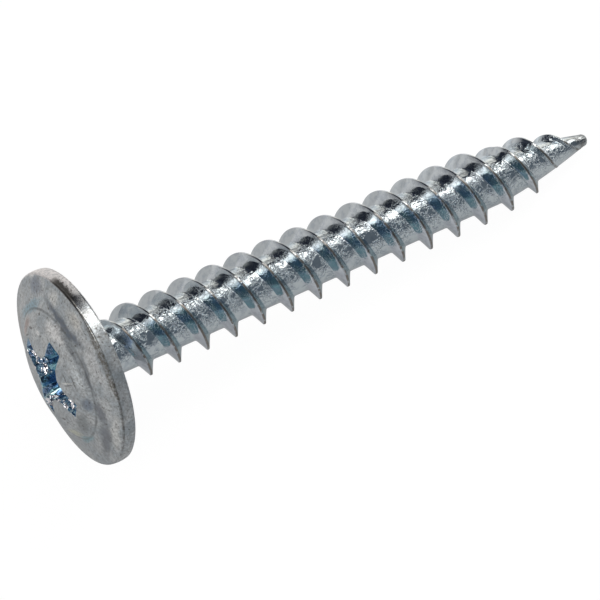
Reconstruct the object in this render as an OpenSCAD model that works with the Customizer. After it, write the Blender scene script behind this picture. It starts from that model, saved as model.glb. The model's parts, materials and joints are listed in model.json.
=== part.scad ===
// Truss head screw with a washer-like rim, a low crown, a cross recess and a twin-start thread.
// Screw frame: the bearing face is at z = 0, the head lies below it and the tip is at z = length.
// Part frame: the screw lies as it comes to rest, on its rim and one thread crest, tip along +X.

/* [Head] */
// Diameter of the head over its rim
head_d = 11.1; // [9.6:0.1:14]
// Height of the whole head above the bearing face
head_h = 2.2; // [2:0.05:3]
// Thickness of the rim at its edge
rim_t = 0.81; // [0.5:0.01:1]
// Radius of the rolled edges of the rim
edge_r = 0.12; // [0.05:0.01:0.2]
// Diameter of the crown at its foot
crown_d = 7.44; // [6.8:0.02:8.4]
// Height of the crown's foot above the bearing face
foot_h = 1.43; // [1.15:0.01:1.55]
// Height of the crown's steep shoulder
shoulder_h = 0.24; // [0.1:0.01:0.35]
// Width of the crown's steep shoulder
shoulder_w = 0.26; // [0.15:0.01:0.4]
// Radius of the rolled groove round the crown's foot
groove_r = 0.4; // [0.25:0.01:0.6]
// Depth of the rolled groove round the crown's foot
groove_deep = 0.05; // [0.02:0.01:0.1]

/* [Cross recess] */
// Width over two opposite wings where they break out of the crown
recess_w = 4.82; // [4.5:0.02:5.4]
// Thickness of a wing at the crown's top
wing_w = 1.07; // [0.9:0.01:1.2]
// Distance between two opposite inner corners at the crown's top
corner_w = 2.3; // [2.1:0.02:2.6]
// Depth of the recess floor below the crown's top
recess_deep = 2.1; // [1.4:0.05:2.2]
// Depth of the punch's point below the recess floor
punch_point = 0.45; // [0.1:0.05:0.6]
// Lean of a wing's outer edge from the screw's axis, in degrees
wing_lean = 26.5; // [20:0.5:27.5]
// Draft of a wing's sides, in degrees
wing_draft = 5.75; // [2:0.25:7]
// Lean of the inner corners from the screw's axis, in degrees
corner_lean = 8; // [4:0.5:10]
// Included angle of the inner corners between the wings, in degrees
corner_angle = 140; // [120:1:160]
// Turn of the recess from the side that faces the floor, in degrees
recess_turn = -3.4; // [-45:0.1:45]

/* [Thread] */
// Outer diameter of the thread
thread_d = 4.14; // [3.8:0.02:4.6]
// Diameter of the core between the threads
core_d = 2.7; // [2.4:0.02:3]
// Distance between neighbouring crests
pitch = 1.78; // [1.5:0.01:2.2]
// Number of starts
starts = 2; // [1:1:3]
// Angle of one flank from a plane across the axis, in degrees
flank_angle = 29; // [20:0.5:32]
// Width of the flat crest
crest_w = 0.1; // [0.05:0.01:0.16]
// Place of a crest along the side that faces the floor, in its first turn
crest_z = 0.37; // [0:0.01:1.4]
// Distance from the bearing face to where the thread starts to rise
thread_from = 0.8; // [0.6:0.05:2]
// Length over which the thread rises to its full height
run_in = 1.4; // [1:0.1:3]
// Distance from the tip to the end of the last start
thread_to = 0.5; // [0.35:0.05:1]
// Length that the first start ends ahead of the last one
early_end = 1.75; // [0.5:0.05:2.5]
// Length over which each start fades into the point
run_out = 1.5; // [0.8:0.1:2.5]

/* [Shank and point] */
// Length from the bearing face to the tip
length = 32.25; // [25:0.05:50]
// Radius of the fillet under the head, which leaves the flat face clear of the thread
fillet_r = 0.8; // [0.76:0.02:0.9]
// Length of the point over which the core narrows
point_len = 6.15; // [4:0.05:8]
// Bow of the core's point, where 1 is a straight cone
point_bow = 1.5; // [1:0.05:2]
// Length over which the crests draw in towards the point
crest_taper = 7.1; // [5:0.05:9]
// Bow of the crests' taper, where 1 is a straight cone
crest_bow = 1.9; // [1:0.05:2.4]
// Radius of the point where its rounded nose starts
nose_r = 0.34; // [0.2:0.01:0.45]
// Length of the rounded nose
nose_len = 0.3; // [0.15:0.01:0.5]
// Facets round the threaded shank
facets = 48; // [24:4:60]

/* [Hidden] */
zinc = [0.66, 0.69, 0.73];
through = 0.2;                                    // reach of the recess's cut past the crown
same_place = 0.00001;                             // points closer than this are one point
turned_sides = 75;                                // fineness of the turned head
dome_sides = 120;                                 // fineness of the crown's dome in section
edge_sides = 24;                                  // fineness of the rim's rolled edges
groove_sides = 32;                                // fineness of the groove

head_r = head_d / 2;
crown_r = crown_d / 2;
shoulder_r = crown_r - shoulder_w;
shoulder_top = foot_h + shoulder_h;
crown_rise = head_h - shoulder_top;
dome_r = (pow(shoulder_r, 2) + pow(crown_rise, 2)) / (2 * crown_rise);
brim_angle = atan((foot_h - rim_t) / (head_r - crown_r));

core_r = core_d / 2;
thread_r = thread_d / 2;
lead = pitch * starts;
nose_z = length - nose_len;
grid_top = fillet_r;                              // the threaded surface starts under the fillet
fillet_turns = [22.5, 45, 67.5, 82.5];            // angles of the fillet's rings
sunk = 0.05;                                      // depth of the threaded surface in the head
nose_turns = [30, 60];                            // angles of the nose's rings
half_base = crest_w / 2 + (thread_r - core_r) * tan(flank_angle);
first_crest = crest_z - 2 * lead;
crests = ceil((nose_z + half_base - first_crest) / pitch) + 1;

function limit(x) = min(max(x, 0), 1);
function taper(z, span, bow) = pow(limit((z - nose_z + span) / span), bow);
function core_at(z) = core_r - (core_r - nose_r) * taper(z, point_len, point_bow);
function crest_at(z) = thread_r - (thread_r - nose_r) * taper(z, crest_taper, crest_bow);
function thread_end(start) = length - thread_to - (start == 1 ? early_end : 0);
function fade(z, start) = limit((z - thread_from) / run_in) * limit((thread_end(start) - z) / run_out);
function height_at(z, start) = max(crest_at(z) - core_at(z), 0) * fade(z, start);

// Tilt at which a point of the screw, z from the bearing face and r below the axis, meets the floor
function tilt_at(z, r) =
    let (along = z + edge_r, below = head_r - edge_r - r)
    atan(below / along) + asin(edge_r / norm([along, below]));
function floor_crest(k) = crest_z + k * pitch;
rest_tilt = min([tilt_at(nose_z, nose_r), for (k = [1 : crests])
    let (z = floor_crest(k)) if (z > thread_from + run_in && z < nose_z)
        tilt_at(z, (core_at(z) + height_at(z, k % starts)) * cos(180 / facets))]);
rest_z = (head_r - edge_r) * cos(rest_tilt) + edge_r - edge_r * sin(rest_tilt);
back_x = -head_h * cos(rest_tilt) - dome_r * (1 - cos(rest_tilt));
rest_x = -(length * cos(rest_tilt) + back_x) / 2;

// Half section of the head, turned round the screw's axis with a flat of its rim to the floor
module head() {
    crease_r = head_r - edge_r;
    crease_h = rim_t - edge_r * (1 - sin(brim_angle)) / cos(brim_angle);
    groove_away = groove_r - groove_deep;
    rotate(180 / turned_sides) rotate_extrude($fn = turned_sides) mirror([0, 1]) difference() {
        union() {
            polygon([[0, 0], [crease_r, 0], [head_r, edge_r], [head_r, crease_h],
                [crease_r + edge_r * sin(brim_angle), crease_h + edge_r * cos(brim_angle)],
                [crown_r, foot_h], [shoulder_r, shoulder_top], [0, shoulder_top]]);
            translate([crease_r, edge_r]) circle(r = edge_r, $fn = edge_sides);
            translate([crease_r, crease_h]) circle(r = edge_r, $fn = edge_sides);
            intersection() {
                translate([0, head_h - dome_r]) circle(r = dome_r, $fn = dome_sides);
                translate([0, foot_h]) square([shoulder_r, head_h]);
            }
        }
        translate([crown_r + groove_away * sin(brim_angle), foot_h + groove_away * cos(brim_angle)])
            circle(r = groove_r, $fn = groove_sides);
    }
}

// Outline of the cross at a depth below the crown's top, as a ring of points
function cross_outline(depth) =
    let (brow = dome_r - sqrt(pow(dome_r, 2) - pow(recess_w / 2, 2)),
        end_r = recess_w / 2 + (brow - depth) * tan(wing_lean),
        side = wing_w / 2 - depth * tan(wing_draft),
        corner = (corner_w / 2 - depth * tan(corner_lean)) / sqrt(2),
        flare = (corner - side) / tan(corner_angle / 2 - 45))
    [for (wing = [0 : 3]) for (p = [[corner + flare, -side], [end_r, -side], [end_r, side],
        [corner + flare, side], [corner, corner]])
        let (c = cos(90 * wing), s = sin(90 * wing)) [p.x * c - p.y * s, p.x * s + p.y * c, depth]];

// The punched recess, from clear of the crown down to the punch's point
module cross_recess() {
    rings = [cross_outline(-through), cross_outline(recess_deep)];
    count = len(rings[0]);
    tip = [0, 0, recess_deep + punch_point];
    translate([0, 0, -head_h]) rotate(recess_turn)
        polyhedron(points = concat(rings[0], rings[1], [tip]), faces = concat(
            [[for (i = [0 : count - 1]) i]],
            [for (i = [0 : count - 1]) let (j = (i + 1) % count)
                each [[i, i + count, j + count], [i, j + count, j], [i + count, 2 * count, j + count]]]));
}

// Angle of a corner between facets, so placed that a flat of the crests faces the floor
function turn_of(i) = 360 * (i + 0.5) / facets;

// One point of the threaded surface: corner 0 to 3 runs over a crest from root to root
function thread_point(i, crest, corner) =
    let (turn = turn_of(i), start = crest % starts,
        mid = first_crest + lead * turn / 360 + crest * pitch,
        high = height_at(mid, start),
        on_top = corner == 1 || corner == 2,
        reach = crest_w / 2 + (on_top ? 0 : high * tan(flank_angle)),
        z = min(max(mid + (corner < 2 ? -reach : reach), grid_top), nose_z),
        r = core_at(z) + (on_top && z > grid_top && z < nose_z ? high : 0))
    [r * cos(turn), r * sin(turn), z];
function ring(z, r) = [for (i = [0 : facets - 1]) [r * cos(turn_of(i)), r * sin(turn_of(i)), z]];
function apart(a, b) = norm(a - b) > same_place;
function flat_free(points, faces) = [for (f = faces)
    let (a = points[f[0]], b = points[f[1]], c = points[f[2]])
    if (apart(a, b) && apart(b, c) && apart(c, a)) f];
function band(low, high) = [for (i = [0 : facets - 1]) let (j = (i + 1) % facets)
    each [[low + i, low + j, high + j], [low + i, high + j, high + i]]];

// Fillet, core, threads and point as one surface that winds along the threads
module threaded_shank() {
    last_turn = fillet_turns[len(fillet_turns) - 1];
    sunk_r = core_r + fillet_r * (1 - cos(last_turn))
        + (fillet_r * (1 - sin(last_turn)) + sunk) * tan(last_turn);
    top_rings = concat(ring(-sunk, sunk_r), [for (k = [len(fillet_turns) - 1 : -1 : 0])
        each ring(fillet_r * (1 - sin(fillet_turns[k])), core_r + fillet_r * (1 - cos(fillet_turns[k])))],
        ring(grid_top, core_r));
    nose_rings = concat(ring(nose_z, nose_r), [for (t = nose_turns)
        each ring(nose_z + nose_len * sin(t), nose_r * cos(t))], [[0, 0, length]]);
    row = 4 * crests;
    thread_points = [for (i = [0 : facets - 1]) for (crest = [0 : crests - 1]) for (corner = [0 : 3])
        thread_point(i, crest, corner)];
    points = concat(top_rings, thread_points, nose_rings);
    grid = len(top_rings);
    nose = grid + len(thread_points);
    // After one turn each crest has moved on by as many crests as there are starts
    at = function (i, j) i < facets ? grid + i * row + j : grid + min(j + 4 * starts, row - 1);
    grid_faces = flat_free(points, [for (i = [0 : facets - 1]) for (j = [0 : row - 2])
        each [[at(i, j), at(i + 1, j), at(i + 1, j + 1)], [at(i, j), at(i + 1, j + 1), at(i, j + 1)]]]);
    tip = len(points) - 1;
    last_ring = tip - facets;
    polyhedron(points = points, faces = [for (f = concat(
        [[for (i = [facets - 1 : -1 : 0]) i]],
        [for (k = [0 : len(fillet_turns)]) each band(k * facets, (k + 1) * facets)],
        grid_faces,
        [for (k = [0 : len(nose_turns) - 1]) each band(nose + k * facets, nose + (k + 1) * facets)],
        [for (i = [0 : facets - 1]) [last_ring + i, last_ring + (i + 1) % facets, tip]]))
        [for (k = [len(f) - 1 : -1 : 0]) f[k]]]);
}

module screw() {
    color(zinc) translate([rest_x, 0, rest_z]) rotate([0, 90 + rest_tilt, 0]) difference() {
        union() {
            head();
            threaded_shank();
        }
        cross_recess();
    }
}

screw();
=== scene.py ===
import json
import math

import bmesh
import bpy
from mathutils import Matrix, Vector


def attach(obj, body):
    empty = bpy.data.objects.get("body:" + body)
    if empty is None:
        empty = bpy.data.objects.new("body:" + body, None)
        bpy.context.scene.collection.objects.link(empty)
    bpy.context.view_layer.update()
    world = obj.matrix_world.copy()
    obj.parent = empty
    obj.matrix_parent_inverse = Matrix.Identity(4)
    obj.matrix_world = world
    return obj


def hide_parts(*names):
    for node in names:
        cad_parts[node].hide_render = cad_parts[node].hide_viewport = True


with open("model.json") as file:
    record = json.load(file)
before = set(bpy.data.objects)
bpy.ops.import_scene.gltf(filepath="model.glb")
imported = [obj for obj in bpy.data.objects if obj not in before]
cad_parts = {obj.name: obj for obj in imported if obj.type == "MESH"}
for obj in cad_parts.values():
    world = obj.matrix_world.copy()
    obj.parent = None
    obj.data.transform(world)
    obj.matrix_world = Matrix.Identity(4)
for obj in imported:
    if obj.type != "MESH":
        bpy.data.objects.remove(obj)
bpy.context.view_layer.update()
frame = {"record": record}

# Sizes in millimetres, in the screw's own frame: bearing face at z = 0, head below it, tip above it.
# A name in ROLL is the radius that a corner is rolled to, and one in STEPS or RINGS is a count.
MM = 0.001
SHANK_MOUNT_Z = 16.0

HEAD_R = 5.55
HEAD_H = 2.2
RIM_T = 0.81
EDGE_R = 0.12
BARREL = 0.045
BARREL_ROLL = 1.6
CROWN_R = 3.72
FOOT_H = 1.43
FOOT_OUT = 0.03
FOOT_ROLL = 0.4
GROOVE_W = 0.3
GROOVE_DEEP = 0.05
GROOVE_ROLL = 0.7
SHOULDER_W = 0.26
SHOULDER_H = 0.24
SHOULDER_IN = 0.06
SHOULDER_DROP = 0.01
SHOULDER_ROLL = 0.6
DOME_R = 11.559
DOME_IN = 0.5
FILLET_R = 0.8
NECK_GAP = 0.03
NECK_ROLL = FILLET_R - NECK_GAP - 0.01
HEAD_STEPS = 192

RECESS_R = 2.41
WING_W = 1.07
CORNER_W = 2.3
RECESS_DEEP = 2.1
PUNCH_POINT = 0.45
WING_LEAN = math.radians(26.5)
WING_DRAFT = math.radians(5.75)
CORNER_LEAN = math.radians(8)
CORNER_ANGLE = math.radians(140)
RECESS_TURN = math.radians(-3.4)
WING_ROLL = 0.09
FLARE_ROLL = 0.1
CORNER_ROLL = 0.12
LIP_R = 0.05
LIP_STEPS = 4
DOME_RINGS = 10
WALL_SHARES = (0.15, 0.32, 0.5, 0.68, 0.84, 0.94, 0.98, 1)
FLOOR_SCALES = (0.96, 0.9, 0.75, 0.55, 0.35, 0.15)

THREAD_R = 2.07
CORE_R = 1.35
PITCH = 1.78
STARTS = 2
LEAD = PITCH * STARTS
FLANK = math.tan(math.radians(29))
CREST_W = 0.1
CREST_Z = 0.37
CREST_ROLL = 0.03
ROOT_ROLL = 0.12
RIDGE_FOOT = CREST_W / 2 + (THREAD_R - CORE_R) * FLANK
THREAD_FROM = 0.8
RUN_IN = 1.4
THREAD_TO = 0.5
EARLY_END = 1.75
RUN_OUT = 1.5
THREAD_STEPS = 144

LENGTH = 32.25
POINT_LEN = 6.15
POINT_BOW = 1.5
CREST_TAPER = 7.1
CREST_BOW = 1.9
NOSE_R = 0.34
NOSE_LEN = 0.3
NOSE_Z = LENGTH - NOSE_LEN
NOSE_TURNS = (15, 30, 45, 60, 75)

# The dent in one crest near the point
DENT_START = 0
DENT_Z = 26.4
DENT_LONG = 0.25
DENT_SHARE = 0.3

# Points nearer than MERGE are one point, and a point nearer to a ring than NEAR is on it
MERGE = 0.0001
NEAR = 0.001


def placement():
    """The screw's own frame in the part's frame, from the mount on the shank."""
    shank = next(m for m in frame["record"]["mounts"] if m["name"] == "threaded_shank")
    along = Vector(shank["axis"]).normalized()
    start = Vector(shank["pos_m"]) - along * SHANK_MOUNT_Z * MM
    side = Vector((0, 1, 0))
    down = side.cross(along)
    turn = Matrix((down, side, along)).transposed().to_4x4()
    return Matrix.Translation(start) @ turn @ Matrix.Scale(MM, 4)


def rolled(corners, stretches):
    """Points of an open outline whose corners, (x, y, radius, steps), are rolled round.

    Each stretch between two corners is cut into as many pieces as its number says.
    """
    points, arcs = [], []
    for i, (x, y, radius, steps) in enumerate(corners):
        here = Vector((x, y))
        if steps == 0:
            arcs.append([here])
            continue
        back = (Vector(corners[i - 1][:2]) - here).normalized()
        on = (Vector(corners[i + 1][:2]) - here).normalized()
        half = back.angle(on) / 2
        centre = here + (back + on).normalized() * radius / math.sin(half)
        first = here + back * radius / math.tan(half) - centre
        turn = back.angle_signed(on) * (math.pi / (2 * half) - 1)
        arcs.append([centre + Matrix.Rotation(turn * s / steps, 2) @ first for s in range(steps + 1)])
    for arc, next_arc, cuts in zip(arcs, arcs[1:], stretches):
        points += arc
        points += [arc[-1].lerp(next_arc[0], k / cuts) for k in range(1, cuts)]
    return points + arcs[-1]


def start_piece(name, x, z):
    """A new piece in edit mode that is one point so far: a plane with its other corners taken away."""
    bpy.ops.object.select_all(action="DESELECT")
    bpy.ops.mesh.primitive_plane_add(size=1)
    piece = bpy.context.object
    piece.name = piece.data.name = name
    bpy.ops.object.mode_set(mode="EDIT")
    mesh = bmesh.from_edit_mesh(piece.data)
    for vert in mesh.verts:
        vert.select = vert.index > 0
    mesh.select_flush(False)
    bpy.ops.mesh.delete(type="VERT")
    mesh = bmesh.from_edit_mesh(piece.data)
    for vert in mesh.verts:
        vert.co = (x, 0, z)
        vert.select = True
    bmesh.update_edit_mesh(piece.data)
    return piece


def trace(points):
    """Draws the point in hand out along a half section."""
    for here, there in zip(points, points[1:]):
        step = there - here
        bpy.ops.mesh.extrude_vertices_move(TRANSFORM_OT_translate={"value": (step.x, 0, step.y)})


def pick(chosen):
    """Selects the vertices that a test on their place accepts, and the edges between them."""
    mesh = bmesh.from_edit_mesh(bpy.context.edit_object.data)
    bpy.ops.mesh.select_all(action="DESELECT")
    for vert in mesh.verts:
        vert.select = chosen(vert.co)
    mesh.select_flush(True)
    bmesh.update_edit_mesh(bpy.context.edit_object.data)


def number_ring():
    """Numbers the selected ring's points by their turn about the axis, from the side that faces the floor."""
    mesh = bmesh.from_edit_mesh(bpy.context.edit_object.data)
    number = mesh.verts.layers.int.new("ring_number")
    ring = [vert for vert in mesh.verts if vert.select]
    half_step = math.pi / len(ring)
    ring.sort(key=lambda vert: (math.atan2(vert.co.y, vert.co.x) + half_step) % math.tau)
    places = []
    for count, vert in enumerate(ring):
        vert[number] = count
        places.append(vert.co.copy())
    return places


def draw_ring(points):
    """Draws the open edge in hand out to a new ring and lays it on the points."""
    bpy.ops.mesh.extrude_region_move()
    mesh = bmesh.from_edit_mesh(bpy.context.edit_object.data)
    number = mesh.verts.layers.int["ring_number"]
    for vert in mesh.verts:
        if vert.select:
            vert.co = points[vert[number]]
    bmesh.update_edit_mesh(bpy.context.edit_object.data)


def dome_z(x, y):
    """Height of the crown's dome over a place, in the screw's frame."""
    return DOME_R - HEAD_H - math.sqrt(DOME_R ** 2 - x ** 2 - y ** 2)


def head_section():
    """Half section of the head from the neck to the edge of the dome, as (radius, z)."""
    slope = (FOOT_H - RIM_T) / (HEAD_R - CROWN_R)
    shoulder_r = CROWN_R - SHOULDER_W
    groove_r = CROWN_R + GROOVE_W
    corners = [
        (CORE_R, FILLET_R - NECK_GAP, 0, 0),
        (CORE_R, 0, NECK_ROLL, 10),
        (HEAD_R - BARREL, 0, EDGE_R, 6),
        (HEAD_R + BARREL, -RIM_T / 2, BARREL_ROLL, 8),
        (HEAD_R - BARREL, -RIM_T, EDGE_R, 6),
        (groove_r, -RIM_T - slope * (HEAD_R - groove_r), GROOVE_ROLL, 4),
        (CROWN_R + FOOT_OUT, -FOOT_H + GROOVE_DEEP, FOOT_ROLL, 6),
        (shoulder_r - SHOULDER_IN, -FOOT_H - SHOULDER_H + SHOULDER_DROP, SHOULDER_ROLL, 6),
        (shoulder_r - DOME_IN, dome_z(shoulder_r - DOME_IN, 0), 0, 0),
    ]
    return rolled(corners, [1, 10, 2, 2, 8, 1, 2, 3])


def cross_outline(depth, grow):
    """Outline of the cross at a depth below the crown's top, drawn out by a margin, as (x, y) points."""
    brow = DOME_R - math.sqrt(DOME_R ** 2 - RECESS_R ** 2)
    end = RECESS_R + (brow - depth) * math.tan(WING_LEAN) + grow
    side = WING_W / 2 - depth * math.tan(WING_DRAFT) + grow
    corner = (CORNER_W / 2 - depth * math.tan(CORNER_LEAN) + grow) / math.sqrt(2)
    flare = (corner - side) / math.tan(CORNER_ANGLE / 2 - math.pi / 4)
    quarter = rolled([
        (end, 0, 0, 0),
        (end, side, WING_ROLL, 4),
        (corner + flare, side, FLARE_ROLL, 3),
        (corner, corner, CORNER_ROLL, 4),
        (side, corner + flare, FLARE_ROLL, 3),
        (side, end, WING_ROLL, 4),
        (0, end, 0, 0),
    ], [2, 8, 5, 5, 8, 2])[:-1]
    return [Matrix.Rotation(RECESS_TURN + math.pi / 2 * wing, 2) @ p for wing in range(4) for p in quarter]


def draw_recess(rim):
    """Dome from the shoulder in to the recess's rolled lip, then its walls, floor and punch point."""
    mouth = cross_outline(0, LIP_R)
    for k in range(1, DOME_RINGS + 1):
        places = [a.xy.lerp(b, k / DOME_RINGS) for a, b in zip(rim, mouth)]
        draw_ring([(p.x, p.y, dome_z(*p)) for p in places])
    for k in range(1, LIP_STEPS + 1):
        turn = math.pi / 2 * k / LIP_STEPS
        lip = cross_outline(0, LIP_R * (1 - math.sin(turn)))
        sink = LIP_R * (1 - math.cos(turn))
        draw_ring([(p.x, p.y, dome_z(*p) + sink) for p in lip])
    top, bottom = cross_outline(0, 0), cross_outline(RECESS_DEEP, 0)

    def wall(share):
        """A ring on the walls, a share of the way from the lip to the floor."""
        ring = []
        for a, b in zip(top, bottom):
            start = dome_z(*a) + HEAD_H + LIP_R
            depth = start + (RECESS_DEEP - start) * share
            p = a.lerp(b, depth / RECESS_DEEP)
            ring.append((p.x, p.y, depth - HEAD_H))
        return ring

    for share in WALL_SHARES:
        draw_ring(wall(share))
    for scale in FLOOR_SCALES:
        sink = RECESS_DEEP + PUNCH_POINT * (1 - scale) - HEAD_H
        draw_ring([(p.x * scale, p.y * scale, sink) for p in bottom])
    draw_ring([(0, 0, RECESS_DEEP + PUNCH_POINT - HEAD_H)] * len(bottom))
    bpy.ops.mesh.merge(type="COLLAPSE")


def cold_headed_head():
    """The head, spun from its half section, with the crown and the punched recess drawn in."""
    section = head_section()
    head = start_piece("head", section[0].x, section[0].y)
    trace(section)
    bpy.ops.mesh.select_all(action="SELECT")
    bpy.ops.mesh.spin(steps=HEAD_STEPS, angle=math.tau, center=(0, 0, 0), axis=(0, 0, 1))
    bpy.ops.mesh.select_all(action="SELECT")
    bpy.ops.mesh.remove_doubles(threshold=MERGE)
    inner = section[-1]
    pick(lambda co: co.z < 0 and abs(co.xy.length - inner.x) < NEAR)
    draw_recess(number_ring())
    bpy.ops.object.mode_set(mode="OBJECT")
    return head


def thread_section():
    """Half section of one lead of the thread, root to root over each of its crests, as (radius, z)."""
    corners = [(CORE_R, -PITCH / 2, 0, 0)]
    for start in range(STARTS):
        z = start * PITCH
        corners += [
            (CORE_R, z - RIDGE_FOOT, ROOT_ROLL, 4),
            (THREAD_R, z - CREST_W / 2, CREST_ROLL, 3),
            (THREAD_R, z + CREST_W / 2, CREST_ROLL, 3),
            (CORE_R, z + RIDGE_FOOT, ROOT_ROLL, 4),
        ]
    corners.append((CORE_R, LEAD - PITCH / 2, 0, 0))
    stretches = [3, 1, 3, 4] * STARTS
    return rolled(corners, [2] + stretches[:-1] + [2])


def limit(share):
    """A share kept from 0 to 1."""
    return min(max(share, 0), 1)


def taper(z, span, bow):
    """How far the point has narrowed at z, over a span that ends at the nose, along a bow."""
    return limit((z - NOSE_Z + span) / span) ** bow


def core_at(z):
    """Radius of the core at a place along the screw."""
    return CORE_R - (CORE_R - NOSE_R) * taper(z, POINT_LEN, POINT_BOW)


def thread_share(z, start):
    """Height of a start's crest over the core at a place along the screw, as a share of the full height."""
    crest = THREAD_R - (THREAD_R - NOSE_R) * taper(z, CREST_TAPER, CREST_BOW)
    end = LENGTH - THREAD_TO - (EARLY_END if start == 1 else 0)
    fade = limit((z - THREAD_FROM) / RUN_IN) * limit((end - z) / RUN_OUT)
    if start == DENT_START:
        fade *= 1 - DENT_SHARE * limit(2 - abs(z - DENT_Z) / DENT_LONG)
    return max(crest - core_at(z), 0) * fade / (THREAD_R - CORE_R)


def shape_thread(piece):
    """Draws the wound thread in to its run-in, its tapered point and its two run-outs."""
    half_crest = CREST_W / 2
    for vert in piece.data.vertices:
        x, y, z = vert.co
        radius, turn = math.hypot(x, y), math.atan2(y, x) % math.tau
        wound = (z - CREST_Z - LEAD * turn / math.tau) / PITCH
        crest = round(wound)
        mid = z - (wound - crest) * PITCH
        away = abs(wound - crest) * PITCH
        share = thread_share(mid, crest % STARTS)
        foot = half_crest + (RIDGE_FOOT - half_crest) * share
        if away > RIDGE_FOOT:
            away = foot + (away - RIDGE_FOOT) * (PITCH / 2 - foot) / (PITCH / 2 - RIDGE_FOOT)
        elif away > half_crest:
            away = half_crest + (away - half_crest) * share
        place = mid + math.copysign(away, wound - crest)
        radius = core_at(place) + (radius - CORE_R) * share
        vert.co = (radius * math.cos(turn), radius * math.sin(turn), place)


def rolled_thread():
    """The two wound starts with the core between them, from the neck to the rounded nose."""
    section = [Vector((p.x, p.y + CREST_Z - LEAD)) for p in thread_section()]
    shank = start_piece("shank", section[0].x, section[0].y)
    trace(section)
    bpy.ops.object.mode_set(mode="OBJECT")
    wind = shank.modifiers.new("wind", "SCREW")
    wind.axis = "Z"
    wind.screw_offset = LEAD
    wind.steps = wind.render_steps = THREAD_STEPS
    wind.iterations = math.ceil(LENGTH / LEAD) + 1
    bpy.ops.object.modifier_apply(modifier=wind.name)
    bpy.ops.object.mode_set(mode="EDIT")
    bpy.ops.mesh.select_all(action="SELECT")
    bpy.ops.mesh.remove_doubles(threshold=MERGE)
    bpy.ops.object.mode_set(mode="OBJECT")
    shape_thread(shank)
    bpy.ops.object.mode_set(mode="EDIT")
    bpy.ops.mesh.select_all(action="SELECT")
    bpy.ops.mesh.bisect(plane_co=(0, 0, FILLET_R), plane_no=(0, 0, 1), clear_inner=True)
    bpy.ops.mesh.select_all(action="SELECT")
    bpy.ops.mesh.bisect(plane_co=(0, 0, NOSE_Z), plane_no=(0, 0, 1), clear_outer=True)
    bpy.ops.mesh.select_all(action="SELECT")
    bpy.ops.mesh.remove_doubles(threshold=MERGE)
    pick(lambda co: abs(co.z - NOSE_Z) < MERGE)
    radius, z = NOSE_R, NOSE_Z
    for turn in NOSE_TURNS:
        ring_r = NOSE_R * math.cos(math.radians(turn))
        ring_z = NOSE_Z + NOSE_LEN * math.sin(math.radians(turn))
        bpy.ops.mesh.extrude_region_move(TRANSFORM_OT_translate={"value": (0, 0, ring_z - z)})
        shrink = ring_r / radius
        bpy.ops.transform.resize(value=(shrink, shrink, 1), center_override=(0, 0, ring_z))
        radius, z = ring_r, ring_z
    bpy.ops.mesh.extrude_region_move(TRANSFORM_OT_translate={"value": (0, 0, LENGTH - z)})
    bpy.ops.transform.resize(value=(0, 0, 1), center_override=(0, 0, LENGTH))
    bpy.ops.mesh.merge(type="COLLAPSE")
    bpy.ops.object.mode_set(mode="OBJECT")
    return shank


def screw():
    """Head and shank joined at the neck into one piece, laid where the frame has it."""
    head, shank = cold_headed_head(), rolled_thread()
    bpy.ops.object.select_all(action="DESELECT")
    head.select_set(True)
    shank.select_set(True)
    bpy.context.view_layer.objects.active = shank
    bpy.ops.object.join()
    piece = bpy.context.object
    piece.name = piece.data.name = "bright_screw"
    bpy.ops.object.mode_set(mode="EDIT")
    low, high = FILLET_R - NECK_GAP - MERGE, FILLET_R + MERGE
    pick(lambda co: low < co.z < high and co.xy.length < THREAD_R)
    bpy.ops.mesh.bridge_edge_loops()
    bpy.ops.mesh.select_all(action="SELECT")
    bpy.ops.mesh.normals_make_consistent(inside=False)
    bpy.ops.object.mode_set(mode="OBJECT")
    piece.matrix_world = placement()
    bpy.ops.object.transform_apply(location=True, rotation=True, scale=True)
    bpy.ops.object.shade_smooth()
    return piece


class Nodes:
    """Short calls that add nodes to one node tree and join them up."""

    def __init__(self, owner):
        owner.use_nodes = True
        self.tree = owner.node_tree

    def add(self, kind, *values, **settings):
        """A new node with its settings made and its first inputs set or joined, where None leaves one alone."""
        node = self.tree.nodes.new(kind)
        for name, value in settings.items():
            setattr(node, name, value)
        for socket, value in zip(node.inputs, values):
            self.join(value, socket)
        return node

    def join(self, value, socket):
        """Links a node's output to a socket, or sets a plain value on it."""
        if isinstance(value, bpy.types.NodeSocket):
            self.tree.links.new(value, socket)
        elif value is not None:
            socket.default_value = value

    def math(self, operation, *values):
        return self.add("ShaderNodeMath", *values, operation=operation).outputs[0]

    def times(self, value, *others):
        """All the values multiplied, from the first on."""
        for other in others:
            value = self.math("MULTIPLY", value, other)
        return value

    def band(self, value, low, high, at_low=0.0, at_high=1.0):
        """A soft step from one number to another as a value goes from low to high."""
        node = self.add("ShaderNodeMapRange", value, low, high, at_low, at_high, interpolation_type="SMOOTHSTEP")
        return node.outputs[0]

    def noise(self, place, scale, detail=2.0, roughness=0.5):
        return self.add("ShaderNodeTexNoise", place, None, scale, detail, roughness).outputs[0]

    def bump(self, height, deep):
        """A normal for a height from 0 to 1 that is so many millimetres deep."""
        node = self.add("ShaderNodeBump", 1.0, deep * MM)
        self.join(height, node.inputs["Height"])
        return node.outputs[0]

    def mix(self, share, first, second):
        """A colour that goes from the first to the second with the share."""
        node = self.add("ShaderNodeMix", data_type="RGBA")
        for value, socket in zip((share, first, second), (node.inputs[0], node.inputs[6], node.inputs[7])):
            self.join(value, socket)
        return node.outputs[2]


def screw_place(nodes):
    """The place on the screw in its own frame, in millimetres."""
    spot = nodes.add("ShaderNodeTexCoord").outputs["Object"]
    laid = placement()
    turn, size = laid.to_euler(), (MM, MM, MM)
    return nodes.add("ShaderNodeMapping", spot, laid.translation, turn, size, vector_type="TEXTURE").outputs[0]


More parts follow.
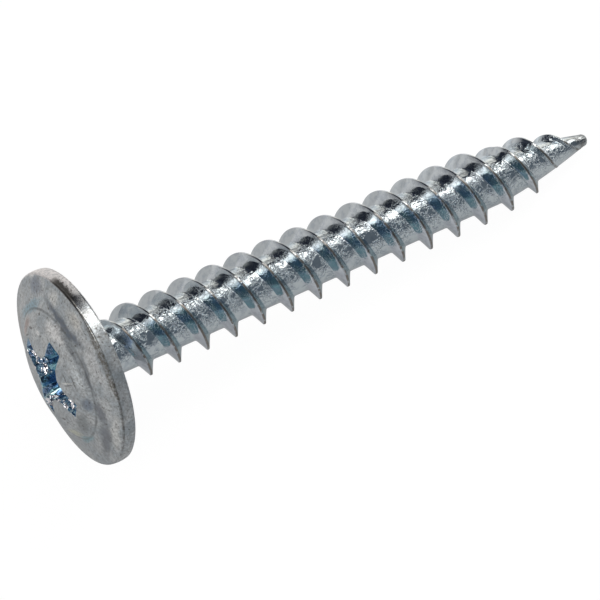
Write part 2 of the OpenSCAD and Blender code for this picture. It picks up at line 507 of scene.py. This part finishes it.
def round_axis(nodes, place):
    """Distance from the screw's axis, the turn about it from the side that faces the floor, and the height."""
    x, y, z = nodes.add("ShaderNodeSeparateXYZ", place).outputs
    across = nodes.math("SQRT", nodes.math("ADD", nodes.times(x, x), nodes.times(y, y)))
    return across, nodes.math("ARCTAN2", y, x), z


def off_crest(nodes, turn, z):
    """How far a place lies from the nearest crest, in crest spacings: below 0 on the head's side."""
    along = nodes.math("DIVIDE", nodes.math("SUBTRACT", z, CREST_Z), PITCH)
    wound = nodes.math("SUBTRACT", along, nodes.times(turn, STARTS / math.tau))
    return nodes.math("SUBTRACT", wound, nodes.math("ROUND", wound))


def facing(nodes, turn, degrees):
    """1 at so many degrees round the axis, falling to -1 on the side across from it."""
    return nodes.math("COSINE", nodes.math("SUBTRACT", turn, math.radians(degrees)))


def zinc(name):
    """A plated metal whose colour, roughness and bump the caller joins on."""
    material = bpy.data.materials.new(name)
    nodes = Nodes(material)
    shader = nodes.tree.nodes["Principled BSDF"]
    shader.inputs["Metallic"].default_value = 1
    return material, nodes, shader.inputs


# Colours of the thread's plating, where high and low are as the camera sees the screw; the film colours on the
# front flanks are partly painted reflection and painted shade
ROOT_ZINC = (0.58, 0.64, 0.675, 1)
HIGH_FLANK = (0.62, 0.66, 0.69, 1)
NAVY_FILM_PAINTED_DARK_REFLECTION = (0.64, 0.78, 1, 1)
PALE_FILM_PAINTED_REFLECTION = (0.9, 0.98, 1, 1)
LOW_FLANK_PAINTED_REFLECTION = (0.72, 0.76, 0.82, 1)
HIGH_TIP_FLANK = (0.54, 0.58, 0.6, 1)
TEAL_FILM_PAINTED_SHADE = (0.22, 0.38, 0.42, 1)
CLOUD = (0.36, 0.41, 0.48, 1)
DARK_FRONT_CREST = (0.22, 0.205, 0.19, 1)
TIP_DIRT = (0.2, 0.2, 0.2, 1)


def threaded_zinc():
    """Glossy plating of the thread: wrinkled root, blue and teal film on the flanks with painted reflection and
    painted shade across the front, and crests darker brown and rougher on the front side.
    """
    material, nodes, shader = zinc("threaded_zinc")
    place = screw_place(nodes)
    across, turn, z = round_axis(nodes, place)
    side = nodes.math("SINE", turn)
    off = off_crest(nodes, turn, z)
    away = nodes.math("ABSOLUTE", off)
    flank = nodes.times(nodes.band(away, 0.30, 0.27), nodes.band(across, 1.36, 1.42), nodes.band(z, 0.3, 0.7))

    # Blue film on the head-side flanks and teal film on the tip-side flanks, with painted reflection and painted
    # shade across the front of the screw: the head-side flanks get patches of painted pale and dark reflection
    # and are painted paler where they face most to the front, and the tip-side flanks are painted a shaded dark
    # teal
    navy = nodes.mix(nodes.band(nodes.noise(place, 1.5, detail=3), 0.42, 0.58), NAVY_FILM_PAINTED_DARK_REFLECTION, PALE_FILM_PAINTED_REFLECTION)
    front = nodes.mix(nodes.band(side, -0.5, -0.8), navy, LOW_FLANK_PAINTED_REFLECTION)
    blue = nodes.mix(nodes.band(side, -0.1, -0.35), HIGH_FLANK, front)
    teal = nodes.mix(nodes.band(side, -0.15, -0.6), HIGH_TIP_FLANK, TEAL_FILM_PAINTED_SHADE)
    colour = nodes.mix(flank, ROOT_ZINC, nodes.mix(nodes.band(off, -0.02, 0.02), blue, teal))
    cloud = nodes.noise(place, 2.6, detail=5, roughness=0.6)
    colour = nodes.mix(nodes.band(cloud, 0.42, 0.64, 0, 0.4), colour, CLOUD)

    breaks = nodes.band(nodes.noise(place, 4, detail=3), 0.62, 0.5, 0.35, 1)
    # Crests darker brown and rougher on the front side of the screw, in broken stretches
    front_crest_stretches = nodes.times(nodes.band(side, 0.25, -0.2, 0.05, 1), breaks)
    crest = nodes.times(nodes.band(away, 0.05, 0.03), front_crest_stretches)
    colour = nodes.mix(crest, colour, DARK_FRONT_CREST)
    tip = nodes.times(nodes.band(z, 30.6, 31.8), nodes.band(cloud, 0.35, 0.6, 0.4, 0.85))
    nodes.join(nodes.mix(tip, colour, TIP_DIRT), shader["Base Color"])
    nodes.join(nodes.band(nodes.math("MAXIMUM", crest, tip), 0, 1, 0.045, 0.35), shader["Roughness"])

    # Swells all over, and sharp folds in patches, laid on the root more than on the flanks, the neck and the tip
    swell = nodes.noise(place, 2.6, detail=4, roughness=0.56)
    fold = nodes.math("ABSOLUTE", nodes.math("SUBTRACT", nodes.noise(place, 4.2, detail=4), 0.5))
    fold = nodes.times(nodes.band(fold, 0.07, 0.0), nodes.band(nodes.noise(place, 1.3, detail=1), 0.35, 0.55))
    height = nodes.times(
        nodes.math("SUBTRACT", swell, nodes.times(fold, 0.4)),
        nodes.band(flank, 0, 1, 1, 0.125),
        nodes.band(side, 0.32, 0.12, 0.3, 1),
        nodes.band(z, 1.2, 3.0, 0.4, 1),
        nodes.band(z, 28.5, 30.5, 1, 0.3),
    )
    nodes.join(nodes.bump(height, 0.07), shader["Normal"])
    return material


def head_mark(nodes, place, turn, radius, long, wide, lean, soft):
    """A soft oval on the head's face, 1 at its middle, lying along the rim unless it leans."""
    angle = math.radians(turn)
    spot = (radius * math.cos(angle), radius * math.sin(angle), 0)
    way = (0, 0, angle + math.pi / 2 + math.radians(lean))
    oval = nodes.add("ShaderNodeMapping", place, spot, way, (long, wide, MARK_DEEP), vector_type="TEXTURE")
    out = nodes.add("ShaderNodeVectorMath", oval.outputs[0], operation="LENGTH").outputs["Value"]
    return nodes.band(out, 1, soft)


def marked(nodes, colour, marks, place, soft):
    """A colour with a table of marks laid over it, one after the other."""
    for turn, radius, long, wide, lean, tint, strength in marks:
        share = nodes.times(head_mark(nodes, place, turn, radius, long, wide, lean, soft), strength)
        colour = nodes.mix(share, colour, (*tint, 1))
    return colour


# Half depth of a mark, and how far the back of the head is lifted out of every mark's reach
MARK_DEEP = 50
CLEAR_OF_MARKS = 1000


# Stains, painted highlights and painted shade on the head's face: turn in degrees, radius, half length, half
# width, lean, colour and strength
STAINS_AND_PAINTED_LIGHT = (
    (262, 5.05, 2.2, 0.45, 0, (0.88, 0.89, 0.88), 0.85),
    (278, 4.5, 2.3, 0.5, -11, (0.27, 0.29, 0.33), 0.9),
    (250, 4.1, 0.9, 0.4, -11, (0.27, 0.29, 0.33), 0.9),
    (131, 4.9, 1.1, 0.6, 0, (0.27, 0.31, 0.4), 0.7),
    (156, 4.8, 0.8, 0.6, 0, (0.9, 0.9, 0.88), 0.8),
    (180, 4.9, 1.0, 0.6, 0, (0.85, 0.83, 0.78), 0.7),
    (213, 4.6, 1.6, 0.6, 0, (0.85, 0.86, 0.87), 0.7),
    (125, 5.6, 2.4, 0.3, 0, (1.0, 1.0, 1.0), 0.95),
    (114, 3.85, 2.4, 0.42, 0, (0.38, 0.56, 0.66), 0.9),
    (173, 3.98, 2.7, 0.36, 0, (0.15, 0.18, 0.23), 0.9),
    (218, 3.84, 1.8, 0.2, 0, (0.22, 0.25, 0.29), 0.7),
    (62, 4.7, 2.6, 0.9, 0, (0.38, 0.39, 0.38), 0.7),
    (300, 3.75, 1.2, 0.28, 0, (0.36, 0.56, 0.62), 0.9),
    (168, 3.3, 1.3, 0.5, 0, (1.0, 1.0, 1.0), 0.95),
    (218, 3.2, 1.3, 0.5, 0, (0.85, 0.9, 0.93), 0.85),
    (246, 3.4, 0.6, 0.5, 0, (0.27, 0.33, 0.42), 0.85),
    (278, 3.1, 1.3, 0.5, 0, (0.29, 0.32, 0.34), 0.75),
    (104, 3.1, 1.0, 0.4, 0, (0.55, 0.41, 0.37), 0.8),
    (312, 3.3, 1.1, 0.4, 0, (0.72, 0.73, 0.58), 0.8),
)

# Scratches on the crown: turn in degrees, radius, half length, half width, lean, colour and strength
SCRATCHES = (
    (94, 2.44, 0.6, 0.06, 2, (0.05, 0.05, 0.05), 0.9),
    (100, 2.72, 0.3, 0.05, 20, (0.08, 0.08, 0.08), 0.8),
    (218, 2.1, 0.4, 0.05, -3, (0.12, 0.12, 0.12), 0.8),
    (223, 2.75, 0.5, 0.05, -5, (0.12, 0.12, 0.12), 0.8),
    (225, 2.15, 0.65, 0.05, 86, (1.0, 1.0, 0.97), 0.8),
    (228, 2.2, 0.5, 0.04, 80, (0.15, 0.15, 0.15), 0.7),
    (137, 2.6, 0.28, 0.16, 10, (1.0, 1.0, 1.0), 0.8),
    (316, 2.4, 0.25, 0.09, 0, (0.07, 0.07, 0.07), 0.9),
    (118, 2.85, 0.3, 0.1, 15, (0.15, 0.14, 0.14), 0.8),
)


# Colours of the head's plating, of the dirt on it, and of the painted shade and painted reflections on it
DULL_HEAD = (0.52, 0.57, 0.61, 1)
BRIGHT_HEAD = (0.69, 0.715, 0.73, 1)
FOOT_LINE = (0.13, 0.14, 0.15, 1)
GRAIN = (0.21, 0.21, 0.21, 1)
SPECKS = (0.12, 0.11, 0.1, 1)
CREASE_DIRT_AND_SHADE = (0.17, 0.155, 0.135, 1)
PAINTED_PALE_REFLECTION = (0.92, 0.89, 0.89, 1)
PAINTED_DARK_REFLECTION = (0.045, 0.042, 0.04, 1)


def head_zinc():
    """Satin plating of the head: stained and speckled, with painted highlights and painted shade on its face,
    brown dirt and painted shade in the crease, and painted reflections on the side band.
    """
    material, nodes, shader = zinc("head_zinc")
    place = screw_place(nodes)
    across, turn, z = round_axis(nodes, place)

    # The stains and the painted highlights and shade have ragged edges, the scratches clean ones, and the back of
    # the head has neither
    front = nodes.band(z, -0.02, -0.12)
    lift = nodes.add("ShaderNodeCombineXYZ", 0, 0, nodes.band(front, 0, 1, CLEAR_OF_MARKS, 0)).outputs[0]
    face = nodes.add("ShaderNodeVectorMath", place, lift, operation="ADD").outputs[0]
    warp = nodes.add("ShaderNodeTexNoise", place, None, 1.2, 3.0, 0.6).outputs["Color"]
    warp = nodes.add("ShaderNodeVectorMath", warp, (0.8, 0.8, 0), (-0.4, -0.4, 0), operation="MULTIPLY_ADD")
    ragged = nodes.add("ShaderNodeVectorMath", warp.outputs[0], face, operation="ADD").outputs[0]
    stain = nodes.noise(place, 0.8, detail=5, roughness=0.5)
    colour = nodes.mix(nodes.band(stain, 0.36, 0.64), DULL_HEAD, BRIGHT_HEAD)
    # Stains, with painted highlights on the brim's ridge, on the rim and inside the crown's shoulder, and painted
    # shade in the groove and in the brim's hollow
    colour = marked(nodes, colour, STAINS_AND_PAINTED_LIGHT, ragged, 0.3)
    foot = nodes.band(nodes.math("ABSOLUTE", nodes.math("SUBTRACT", across, CROWN_R + FOOT_OUT)), 0.1, 0.02)
    foot = nodes.times(foot, nodes.band(stain, 0.35, 0.6, 0.3, 0.65), front)
    colour = nodes.mix(foot, colour, FOOT_LINE)
    colour = marked(nodes, colour, SCRATCHES, face, 0.6)

    grain = nodes.noise(place, 6, detail=3, roughness=0.8)
    colour = nodes.mix(nodes.band(grain, 0.35, 0.7, 0, 0.65), colour, GRAIN)
    colour = nodes.mix(nodes.band(nodes.noise(place, 5, detail=2), 0.64, 0.7, 0, 0.7), colour, SPECKS)

    # Brown dirt and painted shade along the crease between the brim and the side band, widest on the side that
    # the camera sees
    crease_facing = facing(nodes, turn, -148)
    inner = nodes.band(nodes.band(crease_facing, 0.9, 0.985), 0, 1, 5.4, 5.12)
    crease = nodes.times(
        nodes.band(nodes.math("SUBTRACT", across, inner), 0, 0.15),
        nodes.band(z, -0.68, -0.76),
        nodes.band(grain, 0.35, 0.6, 0.25, 0.85),
        nodes.band(crease_facing, 0.2, 0.9, 0.1, 1),
    )
    colour = nodes.mix(crease, colour, CREASE_DIRT_AND_SHADE)

    # The side band: a painted pale reflection towards the back, then a painted dark reflection on its lower half,
    # then a glossy stretch
    side_band = nodes.band(across, 5.4, 5.5)
    pale = nodes.band(facing(nodes, turn, 132), 0.72, 0.93, 0, 0.85)
    pale = nodes.times(pale, nodes.band(grain, 0.4, 0.7, 1, 0.3), side_band)
    colour = nodes.mix(pale, colour, PAINTED_PALE_REFLECTION)
    low = nodes.math("ADD", z, nodes.band(grain, 0.3, 0.7, -0.12, 0.12))
    dark = nodes.times(nodes.band(facing(nodes, turn, 162), 0.965, 0.992), nodes.band(low, -0.36, -0.54))
    dark = nodes.times(dark, nodes.band(side_band, 0, 1, 0, 0.92))
    nodes.join(nodes.mix(dark, colour, PAINTED_DARK_REFLECTION), shader["Base Color"])
    glossy = nodes.times(nodes.band(facing(nodes, turn, 184), 0.94, 0.985), side_band)
    satin = nodes.band(across, 5.4, 5.5, 0.34, 0.62)
    nodes.join(nodes.band(glossy, 0, 1, satin, 0.27), shader["Roughness"])
    pits = nodes.times(nodes.noise(place, 9, detail=2), nodes.band(glossy, 0, 1, 1, 0.35))
    nodes.join(nodes.bump(pits, 0.016), shader["Normal"])
    return material


# Colours of the recess's plating and of the painted light on its walls that face up
RECESS_NAVY = (0.3, 0.44, 0.62, 1)
RECESS_TEAL = (0.62, 0.8, 0.82, 1)
PAINTED_LIGHT_ON_WALLS = (0.93, 0.92, 0.96, 1)


def recess_zinc():
    """The punched recess: teal and navy film on the walls, with painted light on the walls that face up near the
    mouth, broken into steps by the bump.
    """
    material, nodes, shader = zinc("recess_zinc")
    place = screw_place(nodes)
    z = round_axis(nodes, place)[2]
    normal = nodes.add("ShaderNodeTexCoord").outputs["Normal"]
    up = nodes.band(nodes.add("ShaderNodeSeparateXYZ", normal).outputs[2], 0.6, 0.8)
    uneven = nodes.noise(place, 1.3, detail=2)
    mouth = nodes.math("ADD", z, nodes.times(uneven, 1.2))
    # Painted light on the walls near the mouth that face up
    lit_mouth_walls = nodes.times(up, nodes.band(mouth, -0.75, -0.9))
    film = nodes.mix(nodes.band(nodes.noise(place, 1.4), 0.44, 0.56), RECESS_NAVY, RECESS_TEAL)
    nodes.join(nodes.mix(lit_mouth_walls, film, PAINTED_LIGHT_ON_WALLS), shader["Base Color"])
    shader["Roughness"].default_value = 0.1
    step = nodes.math("PINGPONG", nodes.math("ADD", z, nodes.times(uneven, 1.6)), 0.45)
    step = nodes.times(step, nodes.band(lit_mouth_walls, 0, 1, 0, 2.4))
    nodes.join(nodes.bump(nodes.math("ADD", step, nodes.times(uneven, 0.4)), 0.22), shader["Normal"])
    return material


# How far the middle of a face may lie off the surface that tells its plating: back or dome, core, mouth
SKIN = 0.02
CORE_SKIN = 0.05
MOUTH_SKIN = 0.2


def dress(piece):
    """Lays the three platings on their faces."""
    piece.data.materials.clear()
    for material in (head_zinc(), threaded_zinc(), recess_zinc()):
        piece.data.materials.append(material)
    on_head, on_thread, in_recess = range(3)
    back = placement().inverted()
    for face in piece.data.polygons:
        spot = back @ face.center
        radius = spot.xy.length
        if spot.z > -SKIN and (radius > CORE_R - CORE_SKIN or spot.z > FILLET_R):
            face.material_index = on_thread if radius < CORE_R + FILLET_R else on_head
        elif radius < RECESS_R + MOUTH_SKIN and spot.z > dome_z(*spot.xy) + SKIN:
            face.material_index = in_recess


# The photograph's camera: where it stands round the screw, its distance in millimetres, its focal length in
# pixels, and where the head's centre lies in its picture
IMAGE = 600
CAMERA_TURN = math.radians(31.41)
CAMERA_RISE = math.radians(60)
CAMERA_AWAY = 334.62
FOCAL_PX = 6302
HEAD_PX = (82.4, 363.6)


def studio_camera():
    """The photograph's camera, aimed so that the head's centre falls on its place in the picture."""
    data = bpy.data.cameras.new("studio_camera")
    data.lens = data.sensor_width * FOCAL_PX / IMAGE
    data.clip_start, data.clip_end = 0.01, 10
    camera = bpy.data.objects.new("studio_camera", data)
    bpy.context.scene.collection.objects.link(camera)
    bpy.context.scene.camera = camera
    back = Vector((-math.sin(CAMERA_TURN) * math.cos(CAMERA_RISE),
                   -math.cos(CAMERA_TURN) * math.cos(CAMERA_RISE), math.sin(CAMERA_RISE)))
    right = Vector((0, 0, 1)).cross(back).normalized()
    up = back.cross(right)
    aim = Matrix((right, up, back)).transposed()
    right_px, up_px = HEAD_PX[0] - IMAGE / 2, IMAGE / 2 - HEAD_PX[1]
    seen = Vector((right_px / FOCAL_PX, up_px / FOCAL_PX, -1)) * CAMERA_AWAY
    head = placement().translation
    camera.matrix_world = Matrix.Translation(head - aim @ seen * MM) @ aim.to_4x4()


# Light that the room sends, where 1 is white
WHITE = (1, 1, 1, 1)
LOW_FRONT = (0.62, 0.62, 0.62, 1)
HIGH_FRONT = (0.135, 0.155, 0.178, 1)
WALL_BY_HEAD = (0.72, 0.71, 0.7, 1)
WALL_BY_TIP = (1.4, 1.32, 1.2, 1)
CEILING = (0.04, 0.046, 0.062, 1)
SOFT_BOX = (3.1, 3.0, 2.85, 1)


def room():
    """The studio round the screw: a long soft box overhead, a pale wall behind and the dark room before them."""
    world = bpy.data.worlds.new("room")
    bpy.context.scene.world = world
    nodes = Nodes(world)
    x, y, z = nodes.add("ShaderNodeSeparateXYZ", nodes.add("ShaderNodeTexCoord").outputs["Generated"]).outputs
    across = nodes.math("ADD", nodes.times(x, -0.25), nodes.times(y, 0.968))
    front = nodes.mix(nodes.band(z, 0.0, 0.2), LOW_FRONT, HIGH_FRONT)
    wall = nodes.mix(nodes.band(x, -0.45, -0.1), WALL_BY_HEAD, WALL_BY_TIP)
    back = nodes.mix(nodes.band(z, 0.06, 0.46), wall, CEILING)
    sky = nodes.mix(nodes.band(across, 0.05, 0.15), front, back)
    rising = nodes.math("ADD", z, nodes.times(x, 0.25))
    box = nodes.times(nodes.band(across, -0.12, -0.06), nodes.band(across, 0.3, 0.24))
    box = nodes.times(box, nodes.band(rising, 0.42, 0.58))
    sky = nodes.mix(box, sky, SOFT_BOX)
    seen = nodes.add("ShaderNodeLightPath").outputs["Is Camera Ray"]
    nodes.join(nodes.mix(seen, sky, WHITE), nodes.tree.nodes["Background"].inputs["Color"])


# The table: its side in metres, its own colour, and how much of its own white the camera sees
TABLE_SIDE = 4
TABLE_COLOUR = (0.55, 0.55, 0.55, 1)
TABLE_SHOWN = 0.9
TABLE_WHITE = 1.08


def floor():
    """A white table, which metal mirrors as brighter behind the screw than before it, as a pool of light lies."""
    bpy.ops.object.select_all(action="DESELECT")
    bpy.ops.mesh.primitive_plane_add(size=TABLE_SIDE)
    table = bpy.context.object
    table.name = "table"
    material = bpy.data.materials.new("white_table")
    nodes = Nodes(material)
    shader = nodes.tree.nodes["Principled BSDF"]
    shader.inputs["Base Color"].default_value = TABLE_COLOUR
    shader.inputs["Roughness"].default_value = 0.9
    x, y, z = nodes.add("ShaderNodeSeparateXYZ", nodes.add("ShaderNodeTexCoord").outputs["Object"]).outputs
    behind = nodes.math("ADD", nodes.times(x, 0.9), nodes.times(y, 0.44))
    pool = nodes.times(nodes.band(behind, -0.004, 0.02), nodes.band(y, 0.0, 0.01))
    path = nodes.add("ShaderNodeLightPath").outputs
    mirrored = nodes.math("MAXIMUM", path["Is Glossy Ray"], path["Is Transmission Ray"])
    mirrored = nodes.times(mirrored, nodes.band(pool, 0, 1, 0.28, 1))
    shown = nodes.math("MAXIMUM", nodes.times(path["Is Camera Ray"], TABLE_SHOWN), mirrored)
    strength = nodes.band(path["Is Camera Ray"], 0, 1, 1, TABLE_WHITE)
    white = nodes.add("ShaderNodeEmission", WHITE, strength).outputs[0]
    both = nodes.add("ShaderNodeMixShader", shown, shader.outputs[0], white).outputs[0]
    nodes.join(both, nodes.tree.nodes["Material Output"].inputs["Surface"])
    table.data.materials.append(material)


bpy.context.scene.view_settings.view_transform = "Standard"
piece = screw()
dress(piece)
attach(piece, "root")
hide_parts("screw")
studio_camera()
room()
floor()
